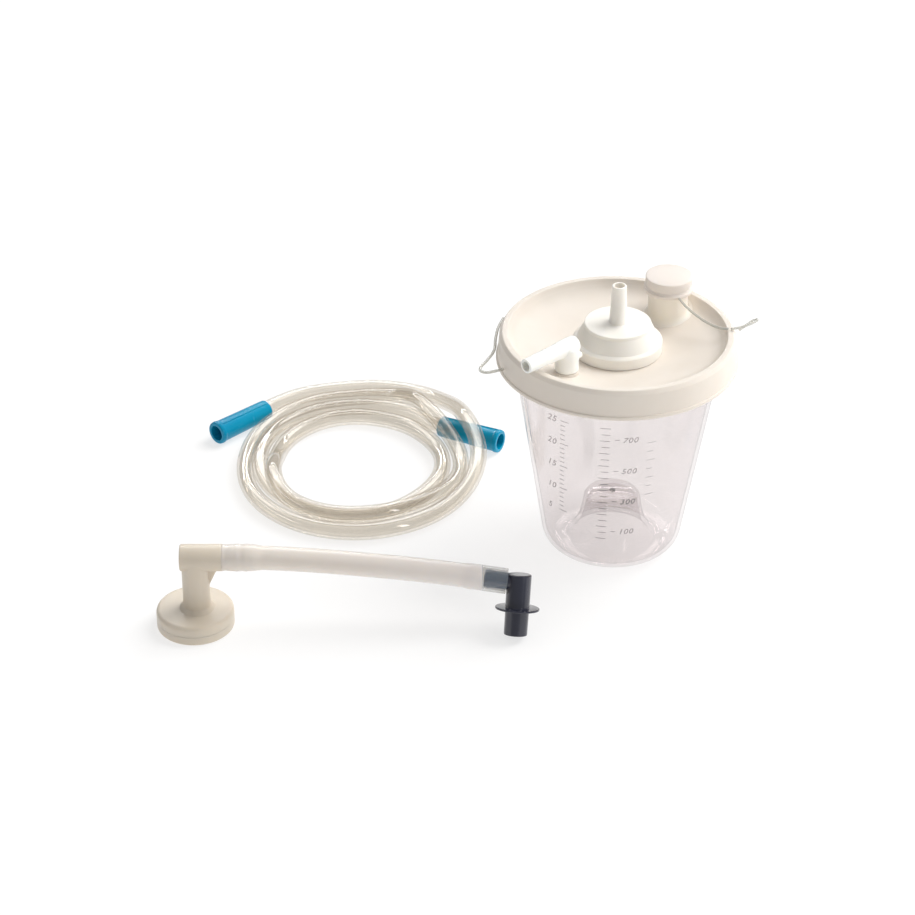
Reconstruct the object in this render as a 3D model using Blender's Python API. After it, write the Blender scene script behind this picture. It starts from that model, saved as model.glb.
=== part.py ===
"""Suction canister kit for a portable suction pump: a lidded canister, a coiled patient tube with
two connectors, and a filter with the connecting hose that leads to the pump.

Every size is in millimetres and is turned into metres where a mesh is made. +Z is up, the floor is
z = 0, and the origin lies under the middle of the canister and the filter housing together.
Run it with: blender --background --python part.py
"""
import math

import bmesh
import bpy
from mathutils import Matrix, Vector

MM = 0.001
GAP = 0.3  # between two pieces that touch

# Where the three loose items stand on the floor.
CANISTER_AT = (88.5, 21.1)
FILTER_AT = (-149.9, -67.3)
COIL_AT = (-60.8, 93.8)

# Cup: a cone with a rounded foot, a flange at its mouth and a push-up in its base.
CUP_BASE_RADIUS = 39.2  # of the outer wall, carried down to the floor
CUP_FLARE = 0.16  # the wall gains this much radius for each millimetre of height
CUP_WALL = 2.0
CUP_TOP = 130.6
CUP_CORNER = 12.0
CUP_FLANGE_RADIUS = 64.6
CUP_FLANGE = 2.0
FOOT_RING_WIDTH = 3.0
PUSH_UP_TOP = 32.4

# Lid: a rim with a skirt, and a dish that falls gently to the hole in the middle.
RIM_TOP = 139.4
RIM_RADIUS = 65.1
RIM_LAND = 2.9
SKIRT_RADIUS = 68.1
SKIRT_FOOT = 122.0
DISH = ((9.0, 127.8), (25.2, 128.2), (36.0, 129.6), (48.0, 131.7), (54.0, 133.1), (58.0, 134.8),
        (60.7, 137.0))  # radius and height of the dish's upper face
DISH_WALL = 2.0
NECK_AT = (30.6, 35.6)
NECK_RADIUS = 11.4
NECK_BORE = 8.4
NECK_TOP = 153.6
ELBOW_AT = (-29.9, -31.0)
ELBOW_PAD_TOP = 132.8
ELBOW_PAD_RADIUS = 7.0
ELBOW_BOSS_TOP = 139.0
ELBOW_BOSS_RADIUS = 5.0
ELBOW_BOSS_BORE = 3.4

# Vacuum port: the round housing in the middle of the lid, with the spigot on top.
PORT_RADIUS = 25.4
PORT_FOOT = 128.5
PORT_TOP = 145.5
PORT_TOP_RADIUS = 18.4
SPIGOT_TOP = 169.0
SPIGOT_RADIUS = 4.2
SPIGOT_BORE = 2.9

# Float valve under the lid.
CAGE_TOP = 125.3
CAGE_FOOT = 98.0
CAGE_RADIUS = 14.6
CAGE_WALL = 1.6
FLOAT_RADIUS = 11.4
FLOAT_FOOT = 100.1
FLOAT_TOP = 111.6
SEAL_RADIUS = 8.0
SEAL_THICKNESS = 2.0

# Pour spout cap and its tether.
CAP_RADIUS = 13.4
CAP_FOOT = 147.2
CAP_TOP = 156.5
TETHER_WIRE = 1.5
PULL_WIRE = 1.7

# Patient elbow.
ELBOW_RADIUS = 6.75
ELBOW_BORE = 5.35
ELBOW_AXIS_HEIGHT = 147.0
ELBOW_ARM = 31.5
ELBOW_ARM_RADIUS = 4.3
ELBOW_ARM_BORE = 2.9
ELBOW_ARM_TURN = math.radians(222.0)  # direction of the arm, seen from above

# Filter housing, with its neck and the elbow barrel on top.
DISC_RADIUS = 21.9
DISC_TOP = 11.7
DISC_SEAM = 5.6
FILTER_NECK_RADIUS = 7.8
FILTER_NECK_OFFSET = 1.3  # the neck stands this far along X from the disc's middle
FILTER_BORE = 4.9
BARREL_HEIGHT = 45.1
BARREL_RADIUS = 7.65
BARREL_BACK = -8.1  # from the neck's axis, along X
BARREL_FRONT = 15.5
BARB_LENGTH = 17.0
BARB_RADIUS = 5.0
SOCKET_RADIUS = 5.0

# Connecting hose: its centre line from the barrel to the pump connector.
HOSE_RADIUS = 6.8
HOSE_BORE = 4.3
HOSE_ROUTE = (
    (-132.8, -67.3, 45.1),
    (-112.0, -67.3, 44.9),
    (-85.0, -67.4, 43.4),
    (-55.0, -67.7, 40.7),
    (-25.0, -68.4, 37.7),
    (2.5, -69.3, 34.3),
    (23.7, -69.94, 31.23),
)
HOSE_STATIONS = 22
HOSE_SIDES = 12
SLEEVE_START = 17.0  # length of hose stretched over the barb
SLEEVE_END = 21.0  # length of hose stretched over the pump connector's arm

# Pump connector: a barrel that leans back on its foot, with a flange and a side arm.
CONNECTOR_HUB = (32.2, -70.2, 30.0)  # where the arm's axis meets the barrel's
CONNECTOR_LEAN = (0.065, 0.405, 0.912)
CONNECTOR_LENGTH = 34.6
CONNECTOR_RADIUS = 6.85
CONNECTOR_BORE = 4.7
FLANGE_RADIUS = 12.5
FLANGE_THICKNESS = 1.4
FLANGE_HEIGHT = 14.4
ARM_HEIGHT = 29.6
ARM_RADIUS = 5.4
ARM_BORE = 3.3
ARM_LENGTH = 19.5

# Patient tube: an oval coil, with a connector on each end.
TUBE_RADIUS = 5.2
COIL_INNER = 49.0
COIL_OUTER = 77.0
COIL_STRETCH = 1.07  # the oval is this much longer along Y
COIL_HEIGHT = 19.4
TAIL_ROUTE = (
    (-122.6, 155.2, 6.0),
    (-114.5, 163.0, 5.6),
    (-104.0, 170.8, 5.3),
    (-90.0, 178.0, 5.2),
    (-73.0, 182.6, 5.2),
    (-55.0, 183.4, 5.2),
    (-38.0, 179.5, 5.2),
    (-23.5, 171.5, 5.4),
    (-14.5, 161.5, 6.2),
    (-8.0, 151.0, 7.2),
)
TAIL_POINTS = 22
LEFT_MOUTH = (-152.3, 124.4, 7.35)
LEFT_TAIL = (-122.9, 154.9, 6.35)
RIGHT_MOUTH = (24.4, 114.7, 7.35)
RIGHT_TAIL = (-12.6, 134.4, 6.35)
CONE_MOUTH_RADIUS = 7.3
CONE_TAIL_RADIUS = 6.2
CONE_MOUTH_BORE = 4.8
CONE_TAIL_BORE = 3.3
CONE_BORE_DEPTH = 22.0

ROUND = 40  # steps round the large turned pieces
SMALL_ROUND = 24


def clear_scene():
    for item in list(bpy.data.objects):
        bpy.data.objects.remove(item, do_unlink=True)


def material(name, colour, roughness, transmission=0.0, alpha=1.0):
    made = bpy.data.materials.new(name)
    made.use_nodes = True
    shader = made.node_tree.nodes["Principled BSDF"]
    shader.inputs["Base Color"].default_value = (*colour, 1.0)
    shader.inputs["Roughness"].default_value = roughness
    shader.inputs["Metallic"].default_value = 0.0
    shader.inputs["Transmission Weight"].default_value = transmission
    shader.inputs["Alpha"].default_value = alpha
    return made


def add_object(name, bm, look=None):
    """An object from a bmesh in millimetres, shaded smooth up to 35 degrees."""
    bmesh.ops.scale(bm, vec=(MM, MM, MM), verts=bm.verts)
    mesh = bpy.data.meshes.new(name)
    bm.to_mesh(mesh)
    bm.free()
    mesh.shade_smooth()
    mesh.set_sharp_from_angle(angle=math.radians(35))
    made = bpy.data.objects.new(name, mesh)
    bpy.context.scene.collection.objects.link(made)
    if look:
        mesh.materials.append(look)
    return made


def turned_mesh(outline, steps):
    """The solid that a closed outline of (radius, height) points sweeps round Z."""
    bm = bmesh.new()
    corners = [bm.verts.new((radius, 0.0, height)) for radius, height in outline]
    sides = []
    for first, second in zip(corners, corners[1:] + corners[:1]):
        if first.co.x > 0 or second.co.x > 0:
            sides.append(bm.edges.new((first, second)))
    bmesh.ops.spin(bm, geom=corners + sides, cent=(0, 0, 0), axis=(0, 0, 1),
                   angle=2 * math.pi, steps=steps, use_merge=True)
    bmesh.ops.remove_doubles(bm, verts=bm.verts, dist=1e-4)
    bmesh.ops.recalc_face_normals(bm, faces=bm.faces)
    return bm


def turned(name, outline, look=None, steps=ROUND):
    return add_object(name, turned_mesh(outline, steps), look)


def arc(centre, radius, start, end, count):
    """Points of an arc in the outline's plane, angles in degrees from the +radius direction."""
    points = []
    for step in range(count + 1):
        angle = math.radians(start + (end - start) * step / count)
        points.append((centre[0] + radius * math.cos(angle), centre[1] + radius * math.sin(angle)))
    return points


def rod_outline(radius, low, high):
    return [(0, high), (radius, high), (radius, low), (0, low)]


def along(direction):
    """A rotation that turns +Z to a direction."""
    return Vector((0, 0, 1)).rotation_difference(Vector(direction)).to_matrix().to_4x4()


def place(item, at, direction=(0, 0, 1)):
    item.matrix_world = Matrix.Translation(Vector(at) * MM) @ along(direction)
    return item


def cutter(outline, at, direction=(0, 0, 1), steps=SMALL_ROUND):
    """A turned helper for a Boolean, left out of the model."""
    helper = turned("cutter", outline, steps=steps)
    helper.hide_render = True
    helper.display_type = "WIRE"
    return place(helper, at, direction)


def combine(item, helper, operation):
    step = item.modifiers.new(operation.lower(), "BOOLEAN")
    step.operation = operation
    step.solver = "EXACT"
    step.object = helper


def box_cutter(low, high, turn=0.0, at=(0, 0)):
    """A box from low to high, turned round Z about the point at."""
    bm = bmesh.new()
    bmesh.ops.create_cube(bm, size=1.0)
    size = [b - a for a, b in zip(low, high)]
    middle = [(a + b) / 2 for a, b in zip(low, high)]
    bmesh.ops.scale(bm, vec=size, verts=bm.verts)
    bmesh.ops.translate(bm, vec=middle, verts=bm.verts)
    helper = add_object("cutter", bm)
    helper.hide_render = True
    helper.display_type = "WIRE"
    helper.matrix_world = (Matrix.Translation(Vector((*at, 0)) * MM)
                           @ Matrix.Rotation(turn, 4, "Z"))
    return helper


def smooth_route(points, count):
    """Evenly numbered points on a smooth curve through the route's own points."""
    path = [Vector(point) for point in points]
    path = [2 * path[0] - path[1]] + path + [2 * path[-1] - path[-2]]
    spans = len(path) - 3
    found = []
    for step in range(count):
        place_on = step / (count - 1) * spans
        span = min(int(place_on), spans - 1)
        t = place_on - span
        a, b, c, d = path[span:span + 4]
        found.append(0.5 * (2 * b + (c - a) * t + (2 * a - 5 * b + 4 * c - d) * t * t
                            + (3 * b - a - 3 * c + d) * t * t * t))
    return found


def tangents(points):
    ends = [points[0]] + points + [points[-1]]
    return [(after - before).normalized() for before, after in zip(ends, ends[2:])]


def pipe_mesh(points, radii, bores, sides):
    """A pipe along points, with an outer radius and a bore at each; a bore of 0 makes it solid."""
    bm = bmesh.new()
    rings = {"outer": [], "inner": []}
    for point, heading, radius, bore in zip(points, tangents(points), radii, bores):
        across = heading.cross(Vector((0, 0, 1))).normalized()
        up = across.cross(heading)
        for kind, reach in (("outer", radius), ("inner", bore)):
            ring = []
            for side in range(sides):
                angle = 2 * math.pi * side / sides
                spot = point + reach * (math.cos(angle) * across + math.sin(angle) * up)
                if reach:
                    ring.append(bm.verts.new(spot))
            rings[kind].append(ring)
    if not rings["inner"][0]:
        rings["inner"] = []
    for shell in rings.values():
        for first, second in zip(shell, shell[1:]):
            for side in range(sides):
                after = (side + 1) % sides
                bm.faces.new((first[side], first[after], second[after], second[side]))
    for end in (0, -1):
        if rings["inner"]:
            for side in range(sides):
                after = (side + 1) % sides
                bm.faces.new((rings["outer"][end][side], rings["outer"][end][after],
                              rings["inner"][end][after], rings["inner"][end][side]))
        else:
            bm.faces.new(rings["outer"][end])
    bmesh.ops.recalc_face_normals(bm, faces=bm.faces)
    return bm


def cord_tube(name, points, radius, look, parent=None, resolution=2):
    """A plain solid tube on a POLY spline, as a curve with a bevel and filled caps."""
    curve = bpy.data.curves.new(name, "CURVE")
    curve.dimensions = "3D"
    curve.bevel_depth = radius * MM
    curve.bevel_resolution = resolution
    curve.use_fill_caps = True
    spline = curve.splines.new("POLY")
    spline.points.add(len(points) - 1)
    for corner, point in zip(spline.points, points):
        corner.co = (*(Vector(point) * MM), 1.0)
    curve.materials.append(look)
    made = bpy.data.objects.new(name, curve)
    bpy.context.scene.collection.objects.link(made)
    made.parent = parent
    return made


def frame_at(name, at):
    """An empty that carries the pieces of one item, given in that item's own coordinates."""
    made = bpy.data.objects.new(name, None)
    made.location = Vector(at) * MM
    bpy.context.scene.collection.objects.link(made)
    return made


def cup_radius(height, inset=0.0):
    """The cup wall's radius at a height, or that of a surface set in from it."""
    slope = math.atan(CUP_FLARE)
    return CUP_BASE_RADIUS + CUP_FLARE * height - inset / math.cos(slope)


def cup_outline():
    slope = math.degrees(math.atan(CUP_FLARE))
    foot = (cup_radius(CUP_CORNER, CUP_CORNER), CUP_CORNER)
    flange_low = CUP_TOP - CUP_FLANGE
    outside = [(cup_radius(CUP_TOP, CUP_WALL), CUP_TOP), (CUP_FLANGE_RADIUS, CUP_TOP),
               (CUP_FLANGE_RADIUS, flange_low), (cup_radius(flange_low), flange_low)]
    outside += arc(foot, CUP_CORNER, -slope, -90, 5)
    ring = foot[0] - FOOT_RING_WIDTH
    under = [(ring, 0), (ring - 2.4, 1.7), (ring - 5.6, 6.0), (ring - 8.2, 12.0),
             (ring - 10.2, 20.0), (ring - 11.2, 26.0), (ring - 13.4, PUSH_UP_TOP - CUP_WALL),
             (0, PUSH_UP_TOP - CUP_WALL)]
    inside = [(0, PUSH_UP_TOP), (ring - 12.6, PUSH_UP_TOP), (ring - 9.6, PUSH_UP_TOP - 2.6),
              (ring - 8.3, 21.0), (ring - 6.3, 12.9), (ring - 3.6, 7.2), (ring - 0.6, 3.6)]
    inside += arc(foot, CUP_CORNER - CUP_WALL, -90, -slope, 5)
    return outside + under + inside


def make_cup(parent, look):
    cup = turned("canister_cup", cup_outline(), look)
    cup.parent = parent
    return cup


def lid_outline():
    rim_in = RIM_RADIUS - RIM_LAND
    side = [(rim_in, RIM_TOP), (RIM_RADIUS, RIM_TOP), (RIM_RADIUS + 1.4, RIM_TOP - 0.9),
            (RIM_RADIUS + 1.9, RIM_TOP - 2.4), (SKIRT_RADIUS - 0.1, SKIRT_FOOT + 2.0),
            (SKIRT_RADIUS + 0.7, SKIRT_FOOT + 1.7), (SKIRT_RADIUS + 0.7, SKIRT_FOOT)]
    under = [(SKIRT_RADIUS - 1.6, SKIRT_FOOT), (SKIRT_RADIUS - 2.5, SKIRT_FOOT + 2.8),
             (CUP_FLANGE_RADIUS + 0.5, CUP_TOP), (CUP_FLANGE_RADIUS + 0.4, RIM_TOP - 2.8),
             (RIM_RADIUS - 1.2, RIM_TOP - 2.2), (RIM_RADIUS - 2.4, RIM_TOP - 2.2),
             (60.9, 134.9), (60.1, 133.0), (57.5, 133.0), (57.1, 127.4), (55.8, 127.4),
             (55.6, 131.4)]
    under += [(radius, height - DISH_WALL) for radius, height in reversed(DISH[:4])]
    return side + under + list(DISH)


def dish_height(radius):
    """The height of the dish's upper face at a radius."""
    for (near, low), (far, high) in zip(DISH, DISH[1:]):
        if radius <= far:
            return low + (high - low) * (radius - near) / (far - near)
    return DISH[-1][1]


def stand_on_dish(outline, at):
    """A turned helper whose foot is sunk half way into the lid's sloping wall."""
    helper = cutter(outline, (CANISTER_AT[0] + at[0], CANISTER_AT[1] + at[1], 0))
    foot = min(height for _, height in outline) * MM
    for vert in helper.data.vertices:
        if abs(vert.co.z - foot) < 1e-6:
            radius = math.hypot(at[0] + vert.co.x / MM, at[1] + vert.co.y / MM)
            vert.co.z = (dish_height(radius) - DISH_WALL / 2) * MM
    return helper


def make_lid(parent, look):
    """The lid, with the pour neck and the boss that the patient elbow turns on."""
    lid = turned("lid", lid_outline(), look)
    lid.parent = parent
    centre = Vector((*CANISTER_AT, 0))
    combine(lid, stand_on_dish(rod_outline(NECK_RADIUS, 128.0, NECK_TOP), NECK_AT), "UNION")
    boss = [(0, ELBOW_BOSS_TOP), (ELBOW_BOSS_RADIUS, ELBOW_BOSS_TOP),
            (ELBOW_BOSS_RADIUS, ELBOW_PAD_TOP), (ELBOW_PAD_RADIUS, ELBOW_PAD_TOP),
            (ELBOW_PAD_RADIUS, 128.0), (0, 128.0)]
    combine(lid, stand_on_dish(boss, ELBOW_AT), "UNION")
    for bore, at in ((NECK_BORE, NECK_AT), (ELBOW_BOSS_BORE, ELBOW_AT)):
        hole = cutter(rod_outline(bore, 115, 160), centre + Vector((*at, 0)))
        combine(lid, hole, "DIFFERENCE")


def make_lid_gasket(parent, look):
    low = CUP_TOP + GAP
    high = 133.0 - GAP
    ring = [(58.9, high), (63.4, high), (63.4, low), (58.9, low)]
    turned("lid_gasket", ring, look).parent = parent


def make_vacuum_port(parent, look):
    outside = [(SPIGOT_BORE, SPIGOT_TOP), (SPIGOT_RADIUS - 0.2, SPIGOT_TOP),
               (SPIGOT_RADIUS, SPIGOT_TOP - 0.6), (5.2, PORT_TOP + 1.2), (6.4, PORT_TOP),
               (PORT_TOP_RADIUS - 0.6, PORT_TOP), (PORT_TOP_RADIUS + 0.5, PORT_TOP - 0.5),
               (PORT_TOP_RADIUS + 1.6, PORT_TOP - 2.6), (23.2, 135.8), (PORT_RADIUS - 0.7, 134.9),
               (PORT_RADIUS, 134.0), (PORT_RADIUS, PORT_FOOT)]
    inside = [(PORT_RADIUS - 2.2, PORT_FOOT), (PORT_RADIUS - 2.4, 133.4), (17.8, 142.4),
              (16.8, PORT_TOP - 2.2), (SPIGOT_BORE, PORT_TOP - 2.2)]
    port = turned("vacuum_port", outside + inside, look, steps=28)
    port.parent = parent


def make_float_cage(parent, look):
    """A cage with a flange, four windows and a holed floor; the valve seat is its top plate."""
    low = CAGE_FOOT
    wall = CAGE_RADIUS - CAGE_WALL
    outline = [(4.4, CAGE_TOP), (20.0, CAGE_TOP), (20.0, CAGE_TOP - 1.6),
               (CAGE_RADIUS, CAGE_TOP - 1.8), (CAGE_RADIUS, low), (5.4, low), (5.4, low + 1.6),
               (wall, low + 1.6), (wall, CAGE_TOP - 1.8), (4.4, CAGE_TOP - 1.8)]
    cage = turned("float_cage", outline, look, steps=28)
    cage.parent = parent
    for quarter in range(2):
        window = box_cutter((-20, -5.2, low + 4.0), (20, 5.2, CAGE_TOP - 6.0),
                            turn=quarter * math.pi / 2 + math.pi / 4, at=CANISTER_AT)
        combine(cage, window, "DIFFERENCE")


def make_float(parent, float_look, seal_look):
    body = [(0, FLOAT_TOP), (6.4, FLOAT_TOP), (FLOAT_RADIUS - 1.4, FLOAT_TOP - 1.2)]
    body += [(FLOAT_RADIUS, FLOAT_TOP - 3.0), (FLOAT_RADIUS, FLOAT_FOOT + 3.0)]
    body += [(FLOAT_RADIUS - 2.4, FLOAT_FOOT), (0, FLOAT_FOOT)]
    turned("float", body, float_look, steps=SMALL_ROUND).parent = parent
    low = FLOAT_TOP + GAP
    high = low + SEAL_THICKNESS
    disc = [(0, high), (SEAL_RADIUS - 0.4, high), (SEAL_RADIUS, high - 0.5), (SEAL_RADIUS, low),
            (0, low)]
    turned("float_seal", disc, seal_look, steps=SMALL_ROUND).parent = parent


def make_spout_cap(parent, look):
    inner = NECK_RADIUS + 0.4
    outline = [(0, CAP_TOP), (CAP_RADIUS - 0.9, CAP_TOP), (CAP_RADIUS, CAP_TOP - 0.9),
               (CAP_RADIUS, CAP_FOOT + 2.4), (CAP_RADIUS + 0.9, CAP_FOOT + 2.1),
               (CAP_RADIUS + 0.9, CAP_FOOT), (inner, CAP_FOOT), (inner, NECK_TOP + 0.5),
               (NECK_BORE - 0.4, NECK_TOP + 0.5), (NECK_BORE - 0.6, NECK_TOP - 3.4),
               (NECK_BORE - 1.9, NECK_TOP - 3.4), (NECK_BORE - 2.1, NECK_TOP + 0.9),
               (0, NECK_TOP + 0.9)]
    cap = turned("spout_cap", outline, look, steps=28)
    cap.parent = parent


def on_canister(points):
    return [Vector(point) + Vector((*CANISTER_AT, 0)) for point in points]


def make_wires(look):
    """The cap's tether, the loop it ends in, and the pull loop on the other side of the skirt."""
    tether = ((35.7, 21.6, 148.6), (40.0, 16.4, 145.6), (46.9, 9.4, 142.7), (53.1, 4.2, 141.3),
              (58.0, 1.2, 140.8), (62.6, 0.4, 140.7))
    cord_tube("cap_tether", smooth_route(on_canister(tether), 18), TETHER_WIRE / 2, look)
    hairpin = ((64.2, 0.5, 140.7), (69.0, 2.2, 140.6), (75.0, 5.6, 140.9), (79.3, 9.9, 140.7),
               (79.6, 12.6, 140.0), (77.6, 12.4, 139.4), (73.4, 8.8, 138.4), (69.3, 4.9, 137.6))
    cord_tube("tether_loop", smooth_route(on_canister(hairpin), 22), TETHER_WIRE / 2, look)
    pull = ((-64.3, 24.7, 133.9), (-67.4, 16.0, 132.6), (-69.0, 7.0, 130.6), (-69.8, -2.4, 128.7),
            (-73.4, -11.8, 128.1), (-77.4, -20.0, 128.0), (-77.6, -24.6, 128.0),
            (-74.2, -26.4, 128.0), (-68.6, -24.4, 128.0), (-64.9, -22.6, 128.0))
    cord_tube("skirt_pull_loop", smooth_route(on_canister(pull), 30), PULL_WIRE / 2, look)


def make_patient_elbow(look):
    """The elbow stands on the lid's boss; its arm points out over the rim."""
    at = Vector((CANISTER_AT[0] + ELBOW_AT[0], CANISTER_AT[1] + ELBOW_AT[1], 0))
    low = ELBOW_PAD_TOP + GAP
    dome = arc((0, ELBOW_AXIS_HEIGHT), ELBOW_RADIUS, 90, 0, 5)
    elbow = turned("patient_elbow", dome + [(ELBOW_RADIUS, low), (0, low)], look,
                   steps=SMALL_ROUND)
    place(elbow, at)
    heading = Vector((math.cos(ELBOW_ARM_TURN), math.sin(ELBOW_ARM_TURN), 0))
    start = at + Vector((0, 0, ELBOW_AXIS_HEIGHT))
    arm = [(0, ELBOW_ARM), (ELBOW_ARM_RADIUS - 0.5, ELBOW_ARM), (ELBOW_ARM_RADIUS, ELBOW_ARM - 0.6),
           (ELBOW_ARM_RADIUS + 0.9, 6.0), (ELBOW_ARM_RADIUS + 0.9, 0), (0, 0)]
    combine(elbow, cutter(arm, start, heading), "UNION")
    lug = [(0, 10.6), (1.6, 10.6), (2.1, 9.9), (2.1, 0), (0, 0)]
    combine(elbow, cutter(lug, at + Vector((0, 0, 138.5)), -heading, steps=12), "UNION")
    bore = rod_outline(ELBOW_BORE, low - 5, ELBOW_BOSS_TOP + 0.6)
    combine(elbow, cutter(bore, at), "DIFFERENCE")
    riser = rod_outline(ELBOW_ARM_BORE + 0.3, low - 5, ELBOW_AXIS_HEIGHT + 2.0)
    combine(elbow, cutter(riser, at, steps=16), "DIFFERENCE")
    through = rod_outline(ELBOW_ARM_BORE, -1.0, ELBOW_ARM + 5)
    combine(elbow, cutter(through, start, heading, steps=16), "DIFFERENCE")


def make_filter(look, membrane_look):
    """Two welded shells round a membrane; the socket below fits the canister's spigot."""
    at = Vector((*FILTER_AT, 0))
    base = [(DISC_RADIUS, DISC_SEAM - GAP / 2)] + arc((DISC_RADIUS - 1.6, 1.6), 1.6, 0, -90, 3)
    base += [(SOCKET_RADIUS, 0), (SOCKET_RADIUS - 0.2, 4.2), (SOCKET_RADIUS + 1.4, 4.2),
             (SOCKET_RADIUS + 1.5, 1.8), (18.6, 1.8), (18.6, 4.4), (19.6, 4.6),
             (19.6, DISC_SEAM - GAP / 2)]
    place(turned("filter_housing_base", base, look, steps=32), at)
    membrane = [(0, 5.3), (18.9, 5.3), (18.9, 4.8), (0, 4.8)]
    place(turned("filter_membrane", membrane, membrane_look, steps=28), at)
    upper = [(0, DISC_TOP)] + arc((DISC_RADIUS - 3.2, DISC_TOP - 3.2), 3.2, 90, 0, 3)
    upper += [(DISC_RADIUS, DISC_SEAM + GAP / 2), (19.6, DISC_SEAM + GAP / 2),
              (19.6, DISC_TOP - 3.6), (18.0, DISC_TOP - 2.0), (0, DISC_TOP - 2.0)]
    housing = place(turned("filter_housing_top", upper, look, steps=32), at)
    foot = at + Vector((FILTER_NECK_OFFSET, 0, 0))
    neck = [(0, BARREL_HEIGHT - 1.0), (FILTER_NECK_RADIUS, BARREL_HEIGHT - 1.0),
            (FILTER_NECK_RADIUS, DISC_TOP + 0.8), (FILTER_NECK_RADIUS + 1.0, DISC_TOP - 0.6),
            (0, DISC_TOP - 0.6)]
    combine(housing, cutter(neck, foot), "UNION")
    centre = foot + Vector((0, 0, BARREL_HEIGHT))
    barb = BARREL_FRONT + BARB_LENGTH
    barrel = [(0, barb), (BARB_RADIUS - 0.9, barb), (BARB_RADIUS, barb - 4.0),
              (BARB_RADIUS - 0.7, barb - 4.1), (BARB_RADIUS, barb - 9.0),
              (BARB_RADIUS - 0.7, barb - 9.1), (BARB_RADIUS - 0.5, BARREL_FRONT),
              (BARREL_RADIUS, BARREL_FRONT), (BARREL_RADIUS, BARREL_BACK + 1.0),
              (BARREL_RADIUS - 1.0, BARREL_BACK), (0, BARREL_BACK)]
    combine(housing, cutter(barrel, centre, (1, 0, 0)), "UNION")
    combine(housing, gusset(foot), "UNION")
    bore = rod_outline(FILTER_BORE, DISC_TOP - 4, BARREL_HEIGHT + 1.0)
    combine(housing, cutter(bore, foot, steps=20), "DIFFERENCE")
    through = rod_outline(3.6, BARREL_BACK + 3.2, barb + 4)
    combine(housing, cutter(through, centre, (1, 0, 0), steps=20), "DIFFERENCE")


def gusset(at):
    """The web between the neck and the barrel, as a helper to join."""
    bm = bmesh.new()
    outline = ((5.0, 26.5), (FILTER_NECK_RADIUS + 0.6, 28.5), (12.6, 38.5), (12.6, 41.0), (5.0, 41.0))
    face = bm.faces.new([bm.verts.new((x, -1.2, z)) for x, z in outline])
    swept = bmesh.ops.extrude_face_region(bm, geom=[face])["geom"]
    moved = [part for part in swept if isinstance(part, bmesh.types.BMVert)]
    bmesh.ops.translate(bm, vec=(0, 2.4, 0), verts=moved)
    bmesh.ops.recalc_face_normals(bm, faces=bm.faces)
    helper = add_object("cutter", bm)
    helper.hide_render = True
    helper.display_type = "WIRE"
    return place(helper, at)


def hose_profile(points):
    """Outer radius and bore at each point: wider where the hose is stretched over a barb."""
    reach = [0.0]
    for first, second in zip(points, points[1:]):
        reach.append(reach[-1] + (second - first).length)
    outer, inner = [], []
    for run in reach:
        at_start = max(0.0, min(1.0, (SLEEVE_START + 5 - run) / 5))
        at_end = max(0.0, min(1.0, (run - (reach[-1] - SLEEVE_END - 4)) / 4))
        outer.append(HOSE_RADIUS + 0.95 * at_start + 0.45 * at_end)
        inner.append(HOSE_BORE + 1.5 * at_start + 1.75 * at_end)
    return outer, inner


def make_hose(look):
    points = smooth_route(HOSE_ROUTE, HOSE_STATIONS)
    outer, inner = hose_profile(points)
    return add_object("connecting_hose", pipe_mesh(points, outer, inner, HOSE_SIDES), look)


def make_pump_connector(look):
    """Its origin is where the arm's axis meets the barrel's, which is the axis it swivels on."""
    lean = Vector(CONNECTOR_LEAN).normalized()
    hub = Vector(CONNECTOR_HUB)
    heading = (Vector(HOSE_ROUTE[-2]) - hub).normalized()
    low = -ARM_HEIGHT
    high = CONNECTOR_LENGTH - ARM_HEIGHT
    flange = low + FLANGE_HEIGHT
    outline = [(0, high), (CONNECTOR_RADIUS - 1.0, high), (CONNECTOR_RADIUS, high - 0.9),
               (CONNECTOR_RADIUS, flange + FLANGE_THICKNESS), (FLANGE_RADIUS, flange + 1.2),
               (FLANGE_RADIUS, flange + 0.2), (CONNECTOR_RADIUS - 0.1, flange),
               (CONNECTOR_RADIUS - 0.25, low), (0, low)]
    body = place(turned("pump_connector", outline, look, steps=28), hub, lean)
    arm = [(0, ARM_LENGTH), (ARM_RADIUS - 0.7, ARM_LENGTH), (ARM_RADIUS, ARM_LENGTH - 3.0),
           (ARM_RADIUS - 0.5, ARM_LENGTH - 3.1), (ARM_RADIUS - 0.5, 0), (0, 0)]
    combine(body, cutter(arm, hub, heading), "UNION")
    bore = rod_outline(CONNECTOR_BORE, low - 4, 0)
    combine(body, cutter(bore, hub, lean, steps=20), "DIFFERENCE")
    through = rod_outline(ARM_BORE, -1.0, ARM_LENGTH + 4)
    combine(body, cutter(through, hub, heading, steps=16), "DIFFERENCE")
    return body


def make_tube_connector(name, mouth, tail, look):
    """A tapered connector that lies on the floor, open at its mouth and where the tube enters."""
    mouth, tail = Vector(mouth), Vector(tail)
    length = (mouth - tail).length
    outline = [(CONE_MOUTH_BORE, length), (CONE_MOUTH_RADIUS - 0.5, length),
               (CONE_MOUTH_RADIUS, length - 0.7), (CONE_MOUTH_RADIUS - 0.3, length - 4.0),
               (CONE_TAIL_RADIUS, 2.0), (CONE_TAIL_RADIUS - 0.6, 0), (CONE_TAIL_BORE, 0),
               (CONE_TAIL_BORE, length - CONE_BORE_DEPTH - 2.0),
               (CONE_MOUTH_BORE - 0.3, length - CONE_BORE_DEPTH)]
    made = turned(name, outline, look, steps=SMALL_ROUND)
    return place(made, tail, mouth - tail)


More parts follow.
